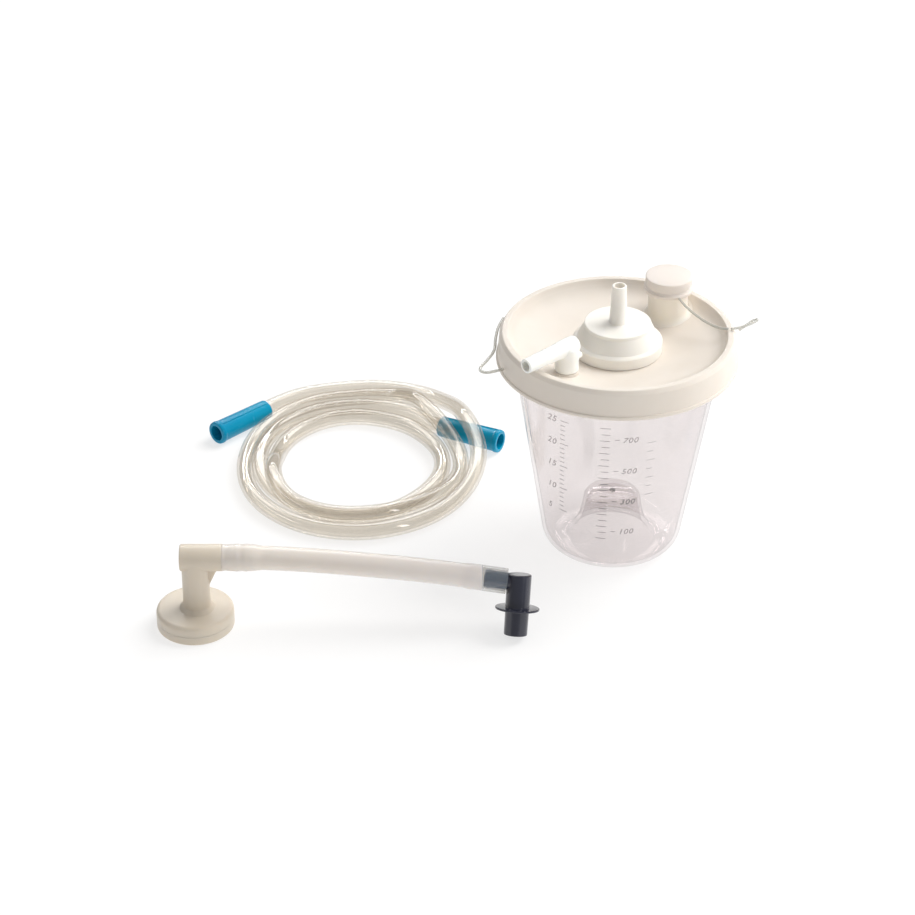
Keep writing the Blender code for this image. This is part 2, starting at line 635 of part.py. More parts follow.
def make_patient_tube(tube_look, connector_look):
    """The coil as the plain oval it fills, with pockets where a tail and a connector enter it."""
    corner = TUBE_RADIUS - 0.4
    low, high = corner, COIL_HEIGHT - corner
    outline = arc((COIL_OUTER - corner, high), corner, 90, 0, 2)
    outline += arc((COIL_OUTER - corner, low), corner, 0, -90, 2)
    outline += arc((COIL_INNER + corner, low), corner, -90, -180, 2)
    outline += arc((COIL_INNER + corner, high), corner, 180, 90, 2)
    ring = turned_mesh(outline, ROUND)
    bmesh.ops.scale(ring, vec=(1.0, COIL_STRETCH, 1.0), verts=ring.verts)
    coil = place(add_object("patient_tube_coil", ring, tube_look), (*COIL_AT, 0))
    tail = smooth_route(TAIL_ROUTE, TAIL_POINTS)
    cord_tube("patient_tube_tail", tail, TUBE_RADIUS, tube_look, resolution=3)
    near_end = tail[-9:]
    beyond = near_end[-1] + GAP * (near_end[-1] - near_end[-2]).normalized()
    pocket = near_end[:-1] + [beyond]
    wide = [TUBE_RADIUS + 0.5] * len(pocket)
    helper = add_object("cutter", pipe_mesh(pocket, wide, [0] * len(pocket), 12))
    helper.hide_render = True
    helper.display_type = "WIRE"
    combine(coil, helper, "DIFFERENCE")
    start = Vector(RIGHT_TAIL)
    heading = (Vector(RIGHT_MOUTH) - start).normalized()
    clear = CONE_MOUTH_RADIUS + 0.5
    slot = rod_outline(clear, -GAP, 60)
    combine(coil, cutter(slot, start, heading, steps=16), "DIFFERENCE")
    make_tube_connector("tube_connector_left", LEFT_MOUTH, LEFT_TAIL, connector_look)
    make_tube_connector("tube_connector_right", RIGHT_MOUTH, RIGHT_TAIL, connector_look)


def build():
    clear_scene()
    clear = material("clear_plastic", (0.86, 0.82, 0.84), 0.08, transmission=0.9, alpha=0.45)
    white = material("white_plastic", (0.87, 0.84, 0.78), 0.35)
    port_white = material("port_plastic", (0.88, 0.86, 0.79), 0.32)
    seal = material("seal_rubber", (0.25, 0.25, 0.26), 0.7)
    cage_look = material("cage_plastic", (0.82, 0.83, 0.84), 0.4)
    float_look = material("float_plastic", (0.93, 0.93, 0.90), 0.45)
    wire = material("translucent_strap", (0.62, 0.63, 0.60), 0.4)
    filter_look = material("filter_plastic", (0.70, 0.68, 0.58), 0.35)
    membrane_look = material("membrane", (0.94, 0.94, 0.92), 0.9)
    hose_look = material("silicone_hose", (0.80, 0.76, 0.70), 0.4, transmission=0.3)
    navy = material("navy_plastic", (0.02, 0.022, 0.035), 0.25)
    tube_look = material("clear_tube", (0.80, 0.76, 0.70), 0.12, transmission=0.7, alpha=0.6)
    teal = material("teal_plastic", (0.01, 0.17, 0.30), 0.3)

    canister = frame_at("canister", (*CANISTER_AT, 0))
    make_cup(canister, clear)
    make_lid(canister, white)
    make_lid_gasket(canister, seal)
    make_vacuum_port(canister, port_white)
    make_float_cage(canister, cage_look)
    make_float(canister, float_look, seal)
    spout = frame_at("spout", (CANISTER_AT[0] + NECK_AT[0], CANISTER_AT[1] + NECK_AT[1], 0))
    make_spout_cap(spout, white)
    make_wires(wire)
    make_patient_elbow(port_white)
    make_filter(filter_look, membrane_look)
    make_hose(hose_look)
    make_pump_connector(navy)
    make_patient_tube(tube_look, teal)


build()
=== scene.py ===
"""Studio scene of the suction canister kit: canister, coiled patient tube, filter and pump hose.

Lengths are millimetres in the frame's own axes, and become metres where a mesh is made.
"""
import math

import bmesh
import bpy
from mathutils import Matrix, Vector


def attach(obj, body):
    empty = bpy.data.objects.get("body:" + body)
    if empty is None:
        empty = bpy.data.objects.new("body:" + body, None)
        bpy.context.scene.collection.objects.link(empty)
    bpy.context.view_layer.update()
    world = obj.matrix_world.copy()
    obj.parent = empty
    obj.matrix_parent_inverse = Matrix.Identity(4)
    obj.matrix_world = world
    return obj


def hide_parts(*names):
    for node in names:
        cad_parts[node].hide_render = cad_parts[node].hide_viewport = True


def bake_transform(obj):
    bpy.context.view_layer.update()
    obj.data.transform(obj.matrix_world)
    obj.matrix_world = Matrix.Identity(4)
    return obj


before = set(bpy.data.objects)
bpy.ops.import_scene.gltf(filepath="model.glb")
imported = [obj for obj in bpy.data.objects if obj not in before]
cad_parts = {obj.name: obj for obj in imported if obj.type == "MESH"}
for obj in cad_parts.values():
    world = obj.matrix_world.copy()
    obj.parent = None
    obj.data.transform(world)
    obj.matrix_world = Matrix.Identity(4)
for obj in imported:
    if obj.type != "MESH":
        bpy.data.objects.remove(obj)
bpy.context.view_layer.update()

MM = 0.001
Z_AXIS = (0, 0, 1)
SHARP_ANGLE = 35.0  # degrees: edges that turn more than this stay crisp
MERGE_GAP = 1e-4
FILLET_SHARE = 0.48  # of a side, the most that one fillet may take
LEAST_TANGENT = 1e-3

# Camera
LENS = 108.2
CAMERA_AT = (-0.00215, -1.33052, 0.9111)
CAMERA_TILT = 57.65

# Where the items stand.
CANISTER_AT = Vector((88.5, 21.1, 0))
FILTER_AT = Vector((-149.9, -67.3, 0))
COIL_AT = Vector((-60.75, 100.0, 0))
NECK_AT = CANISTER_AT + Vector((30.6, 35.6, 0))
ELBOW_AT = CANISTER_AT + Vector((-29.9, -31.0, 0))

# Cup
CUP_BASE_RADIUS = 39.2
CUP_FLARE = 0.16
CUP_WALL = 2.0
CUP_TOP = 130.6
CUP_CORNER = 12.0
CUP_FLANGE_RADIUS = 64.6
CUP_FLANGE_DEPTH = 2.0
FOOT_RING_WIDTH = 3.0
PUSH_UP_TOP = 32.4

# Graduations: heights, and places round the wall as distances from its front
MARK_700 = 101.3
HUNDRED_ML = 11.4
ML_TICKS_AT = -10.4
ML_LINES_AT = -3.2
ML_NUMBERS_AT = 1.2
OUNCE = HUNDRED_ML * 0.2957
OUNCE_ZERO = 24.0
OUNCE_TICKS_AT = -35.5
OUNCE_NUMBERS_AT = -45.0
SIDE_TICKS_AT = 15.5
SIDE_TICKS_TOP = 98.0

# Lid
RIM_TOP = 139.4
RIM_RADIUS = 65.1
SKIRT_RADIUS = 68.1
SKIRT_FOOT = 122.0
DISH = ((9.0, 127.8), (25.2, 128.2), (36.0, 129.6), (48.0, 131.7), (54.0, 133.1), (58.0, 134.8),
        (60.7, 137.0))
NECK_RADIUS = 11.4
NECK_BORE = 8.4
NECK_TOP = 153.6
NECK_FLARE = 3.0
BOSS_RADIUS = 7.0
BOSS_BORE = 3.4
SUNK = 0.06  # how far a foot that blends into the dish runs below its surface
TETHER_RADIUS = 0.75
PULL_RADIUS = 0.85

# Patient elbow
ELBOW_TURN = math.radians(222.0)
ELBOW_ARM = 31.5
ELBOW_AXIS = 147.0
ELBOW_FOOT = 133.1
LUG_HEIGHT = 138.5

# Filter and hose
BARREL_HEIGHT = 45.1
FILTER_NECK = FILTER_AT + Vector((1.3, 0, 0))
BARREL_FRONT = 15.5
BARB_LENGTH = 17.0
HOSE_ROUTE = ((-133.05, -67.3, 45.1), (-112.0, -67.3, 44.9), (-85.0, -67.4, 43.4),
              (-55.0, -67.7, 40.7), (-25.0, -68.4, 37.7), (2.5, -69.3, 34.3),
              (25.3, -69.99, 31.0))
HOSE_RADIUS = 6.8
HOSE_BORE = 4.3
BARBS_AT = (8.2, 13.2)
OVER_BARB = 22.0
OVER_ARM = 25.0

# Pump connector
HUB = Vector((32.2, -70.2, 30.0))
LEAN = Vector((0.065, 0.405, 0.912)).normalized()
ARM_HEIGHT = 29.6
PUMP_CONNECTOR_LENGTH = 34.6
PUMP_CONNECTOR_RADIUS = 6.85
FLANGE_HEIGHT = 14.4
FLANGE_RADIUS = 12.5

# Patient tube and its connectors
TUBE_RADIUS = 5.2
TUBE_BORE = 3.4
TUBE_STEP = 2.6
LEFT_MOUTH = Vector((-152.3, 124.4, 7.35))
LEFT_TAIL = Vector((-122.9, 154.9, 6.35))
RIGHT_MOUTH = Vector((24.4, 114.7, 7.35))
RIGHT_TAIL = Vector((-12.6, 134.4, 6.35))


# ---------------------------------------------------------------- camera

def make_camera():
    lens = bpy.data.cameras.new("camera")
    lens.lens = LENS
    lens.sensor_width = 36.0
    made = bpy.data.objects.new("camera", lens)
    made.location = CAMERA_AT
    made.rotation_euler = (math.radians(CAMERA_TILT), 0, 0)
    bpy.context.scene.collection.objects.link(made)
    bpy.context.scene.camera = made


make_camera()


# ---------------------------------------------------------------- mesh helpers

def rounded(outline, steps=5):
    """An outline of (r, z) or (r, z, fillet) points with its fillets drawn."""
    found = []
    count = len(outline)
    for index, corner in enumerate(outline):
        here = Vector(corner[:2])
        if len(corner) == 2:
            found.append(tuple(here))
            continue
        before = Vector(outline[index - 1][:2]) - here
        after = Vector(outline[(index + 1) % count][:2]) - here
        half = before.angle(after) / 2
        reach = corner[2] / max(math.tan(half), LEAST_TANGENT)
        reach = min(reach, FILLET_SHARE * before.length, FILLET_SHARE * after.length)
        start = here + before.normalized() * reach
        end = here + after.normalized() * reach
        for step in range(steps + 1):
            t = step / steps
            point = start * (1 - t) ** 2 + here * 2 * t * (1 - t) + end * t * t
            found.append((max(point.x, 0.0), point.y))
    return found


def smooth_line(points, count):
    """Points spread over a smooth (Catmull-Rom) curve through the given ones."""
    path = [Vector(point) for point in points]
    path = [2 * path[0] - path[1]] + path + [2 * path[-1] - path[-2]]
    spans = len(path) - 3
    found = []
    for step in range(count):
        place_on = step / (count - 1) * spans
        span = min(int(place_on), spans - 1)
        t = place_on - span
        a, b, c, d = path[span:span + 4]
        found.append(0.5 * (2 * b + (c - a) * t + (2 * a - 5 * b + 4 * c - d) * t * t
                            + (3 * b - a - 3 * c + d) * t * t * t))
    return found


def even_line(points, step):
    """Points along a polyline, about one step apart."""
    reach = [0.0]
    for first, second in zip(points, points[1:]):
        reach.append(reach[-1] + (second - first).length)
    count = int(reach[-1] / step) + 1
    found = []
    span = 0
    for index in range(count + 1):
        want = reach[-1] * index / count
        while span < len(points) - 2 and reach[span + 1] < want:
            span += 1
        share = (want - reach[span]) / (reach[span + 1] - reach[span])
        found.append(points[span].lerp(points[span + 1], min(max(share, 0.0), 1.0)))
    return found


def object_of(name, bm, angle=SHARP_ANGLE):
    """An object in metres from a mesh in millimetres, smooth but for its sharp edges."""
    bmesh.ops.recalc_face_normals(bm, faces=bm.faces)
    bmesh.ops.scale(bm, vec=(MM, MM, MM), verts=bm.verts)
    mesh = bpy.data.meshes.new(name)
    bm.to_mesh(mesh)
    bm.free()
    mesh.shade_smooth()
    mesh.set_sharp_from_angle(angle=math.radians(angle))
    made = bpy.data.objects.new(name, mesh)
    bpy.context.scene.collection.objects.link(made)
    return made


def turn_to(direction):
    """The turn that takes the upright axis to a direction."""
    return Vector(Z_AXIS).rotation_difference(Vector(direction)).to_matrix().to_4x4()


def lathe(name, outline, at=(0, 0, 0), direction=Z_AXIS, steps=96):
    """The solid that a closed outline of (radius, height) points sweeps round its axis."""
    bm = bmesh.new()
    corners = [bm.verts.new((radius, 0.0, height)) for radius, height in outline]
    sides = []
    for first, second in zip(corners, corners[1:] + corners[:1]):
        if first.co.x > 0 or second.co.x > 0:
            sides.append(bm.edges.new((first, second)))
    bmesh.ops.spin(bm, geom=corners + sides, cent=(0, 0, 0), axis=Z_AXIS,
                   angle=2 * math.pi, steps=steps, use_merge=True)
    bmesh.ops.remove_doubles(bm, verts=bm.verts, dist=MERGE_GAP)
    bm.transform(Matrix.Translation(Vector(at)) @ turn_to(direction))
    return object_of(name, bm)


def pipe(name, points, radii, bores, sides=24):
    """A tube along points; a bore of 0 makes it solid."""
    bm = bmesh.new()
    ends = [points[0]] + list(points) + [points[-1]]
    shells = {"outer": [], "inner": []}
    for index, point in enumerate(points):
        heading = (ends[index + 2] - ends[index]).normalized()
        across = heading.cross(Vector(Z_AXIS)).normalized()
        up = across.cross(heading)
        for kind, reach in (("outer", radii[index]), ("inner", bores[index])):
            if not reach:
                continue
            ring = []
            for side in range(sides):
                angle = 2 * math.pi * side / sides
                ring.append(bm.verts.new(
                    point + reach * (math.cos(angle) * across + math.sin(angle) * up)))
            shells[kind].append(ring)
    for shell in shells.values():
        for first, second in zip(shell, shell[1:]):
            for side in range(sides):
                after = (side + 1) % sides
                bm.faces.new((first[side], first[after], second[after], second[side]))
    for end in (0, -1):
        outer = shells["outer"][end]
        if shells["inner"]:
            inner = shells["inner"][end]
            for side in range(sides):
                after = (side + 1) % sides
                bm.faces.new((outer[side], outer[after], inner[after], inner[side]))
        else:
            bm.faces.new(outer)
    return object_of(name, bm)


def rod(radius, low, high):
    """A plain cylinder's outline, for lathe."""
    return [(0, high), (radius, high), (radius, low), (0, low)]


def cut(item, helper, operation="DIFFERENCE"):
    """Applies one Boolean and removes its helper."""
    step = item.modifiers.new("cut", "BOOLEAN")
    step.operation = operation
    step.solver = "EXACT"
    step.object = helper
    bpy.context.view_layer.update()
    graph = bpy.context.evaluated_depsgraph_get()
    mesh = bpy.data.meshes.new_from_object(item.evaluated_get(graph))
    item.modifiers.clear()
    item.data = mesh
    bpy.data.objects.remove(helper, do_unlink=True)
    mesh.shade_smooth()
    mesh.set_sharp_from_angle(angle=math.radians(SHARP_ANGLE))


def join(item, helper):
    cut(item, helper, "UNION")


def drill(item, radius, low, high, at, direction=Z_AXIS, steps=48):
    """Cuts a round hole between two distances along its axis."""
    cut(item, lathe("bore", rod(radius, low, high), at, direction, steps))


def strap(name, points, count, radius):
    """A thin solid strand through points."""
    line = smooth_line(points, count)
    return pipe(name, line, [radius] * count, [0] * count, 14), line


# ---------------------------------------------------------------- materials

def linear(*colour):
    """A colour given in display values from 0 to 255, as the linear RGBA that nodes take."""
    parts = [(c / 255) / 12.92 if c <= 10 else (((c / 255) + 0.055) / 1.055) ** 2.4
             for c in colour]
    return (*parts, 1.0)


class Look:
    """A procedural node material that is being put together."""

    def __init__(self, name):
        self.made = bpy.data.materials.new(name)
        self.made.use_nodes = True
        self.tree = self.made.node_tree
        self.tree.nodes.clear()
        self.where = self.node("TexCoord").outputs["Object"]

    def node(self, kind, inputs=None, **settings):
        """A new shader node; an input is a value, or the socket that feeds it."""
        made = self.tree.nodes.new("ShaderNode" + kind)
        for key, value in settings.items():
            setattr(made, key, value)
        for key, value in (inputs or {}).items():
            if isinstance(value, bpy.types.NodeSocket):
                self.tree.links.new(value, made.inputs[key])
            else:
                made.inputs[key].default_value = value
        return made

    def noise(self, scale, detail=3.0, rough=0.55):
        """Noise in the object's own space, from 0 to 1."""
        return self.node("TexNoise", {"Vector": self.where, "Scale": scale, "Detail": detail,
                                      "Roughness": rough}).outputs["Fac"]

    def spread(self, value, low, high, start=0.3, end=0.7):
        """A value that runs from start to end, stretched to run from low to high."""
        return self.node("MapRange", {"Value": value, "From Min": start, "From Max": end,
                                      "To Min": low, "To Max": high}).outputs["Result"]

    def mixed(self, factor, first, second):
        """A colour between two, all by that factor."""
        made = self.node("Mix", data_type="RGBA")
        for index, value in ((0, factor), (6, first), (7, second)):
            if isinstance(value, bpy.types.NodeSocket):
                self.tree.links.new(value, made.inputs[index])
            else:
                made.inputs[index].default_value = value
        return made.outputs[2]

    def maths(self, operation, first, second):
        return self.node("Math", {0: first, 1: second}, operation=operation).outputs[0]

    def bump(self, height, strength, distance):
        return self.node("Bump", {"Height": height, "Strength": strength,
                                  "Distance": distance}).outputs["Normal"]

    def mix_shader(self, factor, first, second):
        return self.node("MixShader", {0: factor, 1: first, 2: second}).outputs[0]

    def finish(self, shader):
        """Connects the shader and hands the material over."""
        out = self.node("OutputMaterial")
        self.tree.links.new(shader, out.inputs["Surface"])
        return self.made


def moulded(name, colour, shade, rough=0.35, grain=1400.0, depth=0.00004, glow=0.0,
            reach=0.004, coat=0.0, ior=1.48):
    """Injection-moulded plastic or rubber: cloudy colour, uneven sheen and a fine grain."""
    look = Look(name)
    cloud = look.noise(28.0, 4.0)
    tone = look.mixed(look.spread(cloud, 0.0, 1.0), colour, shade)
    sheen = look.spread(look.noise(120.0, 3.0), rough - 0.06, rough + 0.07)
    fine = look.noise(grain, 2.0)
    broad = look.noise(grain / 18, 2.0)
    height = look.maths("ADD", fine, look.maths("MULTIPLY", broad, 1.6))
    shader = look.node("BsdfPrincipled", {
        "Base Color": tone, "Roughness": sheen, "Normal": look.bump(height, 0.35, depth),
        "Subsurface Weight": glow, "Subsurface Radius": (reach, reach * 0.85, reach * 0.65),
        "Subsurface Scale": 1.0, "Coat Weight": coat, "Coat Roughness": 0.12, "IOR": ior})
    return look.finish(shader.outputs[0])


PAINTED_EDGE_SHADE = (0.25, 0.24, 0.25, 1.0)


def clear_shell(name, tint, edge, haze, haze_colour, rough=0.05, wave=70.0, shine=0.04,
                ripple=0.0004, glint=0.85, outline=0.0):
    """One surface of a clear plastic wall: tinted, darker where it is seen edge on, with a painted
    shade line along its silhouette, and glossy.
    """
    look = Look(name)
    facing = look.node("LayerWeight", {"Blend": 0.5}).outputs["Facing"]
    grazing = look.maths("POWER", facing, 5.0)
    gloss_share = look.maths("ADD", look.maths("MULTIPLY", grazing, glint), shine)
    cloud = look.spread(look.noise(35.0, 3.0), 0.0, 1.0)
    base = look.mixed(cloud, tint, tuple(0.988 * c for c in tint[:3]) + (1.0,))
    rim = look.maths("POWER", facing, 2.5)
    colour = look.mixed(rim, base, edge)
    # Painted shade: a dark grey line where the surface is seen almost edge on, standing in for the
    # dark refraction at a solid clear wall's silhouette.
    edge_shade = look.maths("MULTIPLY", look.maths("POWER", facing, 14.0), outline)
    colour = look.mixed(edge_shade, colour, PAINTED_EDGE_SHADE)
    wavy = look.bump(look.noise(wave, 2.0), 0.25, ripple)
    through = look.node("BsdfTransparent", {"Color": colour}).outputs[0]
    mist = look.node("BsdfPrincipled", {
        "Base Color": haze_colour, "Roughness": 0.45, "Normal": wavy,
        "Subsurface Weight": 0.3, "Subsurface Radius": (0.004, 0.0035, 0.003),
        "Subsurface Scale": 1.0}).outputs[0]
    body = look.mix_shader(look.spread(look.noise(60.0, 3.0), haze * 0.8, haze * 1.2),
                           through, mist)
    sheen = look.spread(look.noise(110.0, 2.0), rough, rough + 0.05)
    gloss = look.node("BsdfGlossy", {"Color": (1, 1, 1, 1), "Roughness": sheen,
                                     "Normal": wavy}).outputs[0]
    return look.finish(look.mix_shader(gloss_share, body, gloss))


ARM_SHOWS_AND_SHADES = (0.0113, 0.0119)  # the x over which the arm inside the hose comes into view
WHITENS = (-0.120, 0.0)  # the x over which the hose turns a little whiter


def milky_hose():
    """Silicone that lets the dark arm under its last stretch show through, and takes a painted
    shade there: a darker bluish-grey tone.
    """
    look = Look("silicone_hose")
    facing = look.node("LayerWeight", {"Blend": 0.5}).outputs["Facing"]
    along = look.node("SeparateXYZ", {"Vector": look.where}).outputs["X"]
    arm_show_and_shade = look.spread(along, 0.0, 1.0, *ARM_SHOWS_AND_SHADES)
    tone = look.mixed(look.spread(look.noise(45.0, 4.0), 0.0, 1.0), linear(251, 240, 229),
                      linear(245, 232, 220))
    brighter = look.spread(along, 0.0, 1.0, *WHITENS)
    tone = look.mixed(brighter, tone, linear(251, 241, 235))
    # Painted shade: over the arm the silicone turns darker bluish grey, as if the dark arm under
    # it kept light from coming through.
    tone = look.mixed(arm_show_and_shade, tone, linear(186, 204, 224))
    fine = look.bump(look.noise(900.0, 2.0), 0.3, 0.00004)
    solid = look.node("BsdfPrincipled", {
        "Base Color": tone, "Roughness": look.spread(look.noise(150.0), 0.3, 0.42),
        "Normal": fine, "Subsurface Weight": 0.4,
        "Subsurface Radius": (0.006, 0.005, 0.004), "Subsurface Scale": 1.0}).outputs[0]
    through = look.node("BsdfTransparent", {"Color": (0.93, 0.91, 0.88, 1.0)}).outputs[0]
    opaque = look.maths("ADD", 0.74, look.maths("MULTIPLY", arm_show_and_shade, -0.62))
    opaque = look.maths("ADD", opaque, look.maths("MULTIPLY", facing, 0.12))
    gloss = look.node("BsdfGlossy", {"Roughness": 0.22, "Normal": fine}).outputs[0]
    body = look.mix_shader(opaque, through, solid)
    return look.finish(look.mix_shader(look.maths("ADD", 0.03, look.maths(
        "MULTIPLY", look.maths("POWER", facing, 5.0), 0.5)), body, gloss))


def woven(name, colour, shade):
    """A fine membrane with crossed threads."""
    look = Look(name)
    threads = []
    for direction in ("X", "Y"):
        wave = look.node("TexWave", {"Vector": look.where, "Scale": 420.0, "Distortion": 0.6},
                         bands_direction=direction)
        threads.append(wave.outputs["Fac"])
    weave = look.maths("MULTIPLY", *threads)
    shader = look.node("BsdfPrincipled", {
        "Base Color": look.mixed(weave, shade, colour), "Roughness": 0.85,
        "Normal": look.bump(weave, 0.5, 0.0001)})
    return look.finish(shader.outputs[0])


LID_LOOK = moulded("white_plastic", linear(231, 223, 213), linear(226, 217, 206), 0.38,
                   glow=0.12, reach=0.003, ior=1.3)
# Painted light: the cap and the neck wear lighter copies of the lid's white plastic, so that their
# sides look more brightly lit.
SPOUT_PAINTED_LIGHT_LOOK = moulded("spout_plastic_painted_light", linear(237, 228, 220), linear(232, 222, 213), 0.38,
                     glow=0.25, reach=0.004, ior=1.3)
NECK_PAINTED_LIGHT_LOOK = moulded("neck_plastic_painted_light", linear(250, 243, 232), linear(246, 238, 226), 0.38,
                    glow=0.3, reach=0.004, ior=1.3)
PORT_LOOK = moulded("port_plastic", linear(251, 246, 237), linear(247, 241, 231), 0.36,
                    glow=0.25, reach=0.004, ior=1.3)
ELBOW_LOOK = moulded("elbow_plastic", linear(254, 254, 249), linear(250, 250, 243), 0.3,
                     glow=0.2, reach=0.003)
CUP_LOOK = clear_shell("clear_plastic", (0.951, 0.937, 0.936, 1), (0.94, 0.92, 0.922, 1), 0.035,
                       linear(235, 225, 226), glint=0.5, outline=0.8)
TUBE_LOOK = clear_shell("clear_tube", (0.956, 0.941, 0.914, 1), (0.82, 0.79, 0.745, 1), 0.045,
                        linear(220, 207, 188), rough=0.02, wave=240.0, shine=0.07,
                        ripple=0.00004, glint=0.7, outline=0.5)
HOSE_LOOK = milky_hose()
FILTER_LOOK = moulded("filter_plastic", linear(219, 208, 192), linear(211, 200, 183), 0.36,
                      glow=0.3, reach=0.004)
NAVY_LOOK = moulded("navy_plastic", linear(44, 46, 60), linear(38, 40, 54), 0.17, grain=900.0,
                    coat=0.4)
TEAL_LOOK = moulded("teal_plastic", linear(0, 150, 186), linear(0, 138, 177), 0.24,
                    glow=0.04, reach=0.002, ior=1.33)
STRAP_LOOK = clear_shell("translucent_strap", (0.80, 0.80, 0.78, 1), (0.5, 0.5, 0.48, 1), 0.55,
                         linear(214, 212, 204), rough=0.2, wave=300.0)
MARK_LOOK = clear_shell("moulded_marks", (0.82, 0.805, 0.805, 1), (0.6, 0.58, 0.59, 1), 0.20,
                        linear(176, 170, 172), rough=0.2)
RUBBER_LOOK = moulded("seal_rubber", linear(70, 70, 72), linear(60, 60, 62), 0.6, grain=700.0)
CAGE_LOOK = moulded("cage_plastic", linear(236, 236, 234), linear(228, 228, 227), 0.4,
                    glow=0.2)
FLOAT_LOOK = moulded("float_plastic", linear(244, 243, 238), linear(238, 236, 230), 0.45,
                     glow=0.2)
MEMBRANE_LOOK = woven("membrane", linear(244, 243, 236), linear(214, 211, 203))


def wear(item, look):
    """Gives a piece one material and no other."""
    item.data.materials.clear()
    item.data.materials.append(look)


def keep(item, look, body, slot, *nodes):
    """Gives a piece its material and body, and hides the CAD nodes it stands for; the slot is not
    used.

    A piece with no body here is left without one, and its caller bakes its placing into its mesh.
    """
    wear(item, look)
    if body:
        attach(item, body)
    if nodes:
        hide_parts(*nodes)
    return item


# ---------------------------------------------------------------- canister

def cup_radius(height, inset=0.0):
    """The cup's outer radius at a height, or that of the surface that lies inset within it."""
    return CUP_BASE_RADIUS + CUP_FLARE * height - inset / math.cos(math.atan(CUP_FLARE))


def arc(centre, radius, start, end, count):
    """Points on a circle between two angles in degrees."""
    return [(centre[0] + radius * math.cos(math.radians(start + (end - start) * i / count)),
             centre[1] + radius * math.sin(math.radians(start + (end - start) * i / count)))
            for i in range(count + 1)]


def make_cup():
    """The cup: its outside, its rounded foot, the push-up under its base, and its inside."""
    slope = math.degrees(math.atan(CUP_FLARE))
    foot = (cup_radius(CUP_CORNER, CUP_CORNER), CUP_CORNER)
    ring = foot[0] - FOOT_RING_WIDTH
    under_top = PUSH_UP_TOP - CUP_WALL
    outside = rounded([(cup_radius(CUP_TOP, CUP_WALL), CUP_TOP, 0.6),
                       (CUP_FLANGE_RADIUS, CUP_TOP, 0.6),
                       (CUP_FLANGE_RADIUS, CUP_TOP - CUP_FLANGE_DEPTH, 0.6),
                       (cup_radius(CUP_TOP - CUP_FLANGE_DEPTH), CUP_TOP - CUP_FLANGE_DEPTH, 0.5),
                       (cup_radius(20.0), 20.0)])
    outside += arc(foot, CUP_CORNER, -slope, -90, 14)
    under = [(ring, 0), (ring - 2.4, 1.7), (ring - 5.6, 6.0), (ring - 8.2, 12.0),
             (ring - 10.2, 20.0), (ring - 11.2, 26.0), (ring - 12.6, under_top - 1.6),
             (ring - 15.0, under_top), (0, under_top)]
    under = [tuple(p) for p in smooth_line(under[:7], 28)] + under[7:]
    inside = [(ring - 14.6, PUSH_UP_TOP), (ring - 11.4, PUSH_UP_TOP - 1.2),
              (ring - 9.6, PUSH_UP_TOP - 3.6), (ring - 8.3, 21.0), (ring - 6.3, 12.9),
              (ring - 3.6, 7.2), (ring - 0.6, 3.6)]
    inside = [(0, PUSH_UP_TOP)] + [tuple(p) for p in smooth_line(inside, 28)]
    inside += arc(foot, CUP_CORNER - CUP_WALL, -90, -slope, 14)
    cup = lathe("cup", outside + under + inside, CANISTER_AT, steps=144)
    keep(cup, CUP_LOOK, "canister", "clear_plastic", "canister_cup")
    gate = lathe("cup_gate", rounded([(0, 33.6), (1.5, 33.6, 0.5), (1.9, 32.0), (0, 32.0)]),
                 CANISTER_AT, steps=24)
    keep(gate, CUP_LOOK, "canister", "clear_plastic")


def on_wall(along, height, proud):
    """A point on the cup's wall: millimetres round from the front, height, and standing out."""
    radius = cup_radius(height)
    angle = along / radius - math.pi / 2
    return CANISTER_AT + Vector(((radius + proud) * math.cos(angle),
                                 (radius + proud) * math.sin(angle), height))


def wrap(bm, start):
    """Lays a flat mark, drawn in x and y with a small z, on the cup's wall."""
    for vert in bm.verts:
        vert.co = on_wall(start[0] + vert.co.x, start[1] + vert.co.y, vert.co.z)


def add_tick(bm, along, height, length, width=0.45, proud=0.14):
    """A tick as a slim raised bar that follows the wall."""
    pieces = 5
    rings = []
    for index in range(pieces + 1):
        x = along + length * index / pieces
        ring = [bm.verts.new(on_wall(x, height + dz, out))
                for dz, out in ((-width / 2, -0.05), (width / 2, -0.05),
                                (width / 3, proud), (-width / 3, proud))]
        rings.append(ring)
    for first, second in zip(rings, rings[1:]):
        for side in range(4):
            after = (side + 1) % 4
            bm.faces.new((first[side], first[after], second[after], second[side]))
    bm.faces.new(rings[0])
    bm.faces.new(rings[-1])


def add_number(bm, text, along, height, size):
    """A raised number, with its middle at that height."""
    curve = bpy.data.curves.new("number", "FONT")
    curve.body = text
    curve.size = size
    curve.extrude = 0.1
    curve.offset = 0.06
    curve.shear = 0.25
    curve.space_character = 1.15
    helper = bpy.data.objects.new("number", curve)
    bpy.context.scene.collection.objects.link(helper)
    bpy.context.view_layer.update()
    mesh = bpy.data.meshes.new_from_object(
        helper.evaluated_get(bpy.context.evaluated_depsgraph_get()))
    part = bmesh.new()
    part.from_mesh(mesh)
    bmesh.ops.remove_doubles(part, verts=part.verts, dist=MERGE_GAP)
    wrap(part, (along, height - 0.36 * size))
    loose = bpy.data.meshes.new("number")
    part.to_mesh(loose)
    part.free()
    bm.from_mesh(loose)
    bpy.data.objects.remove(helper, do_unlink=True)


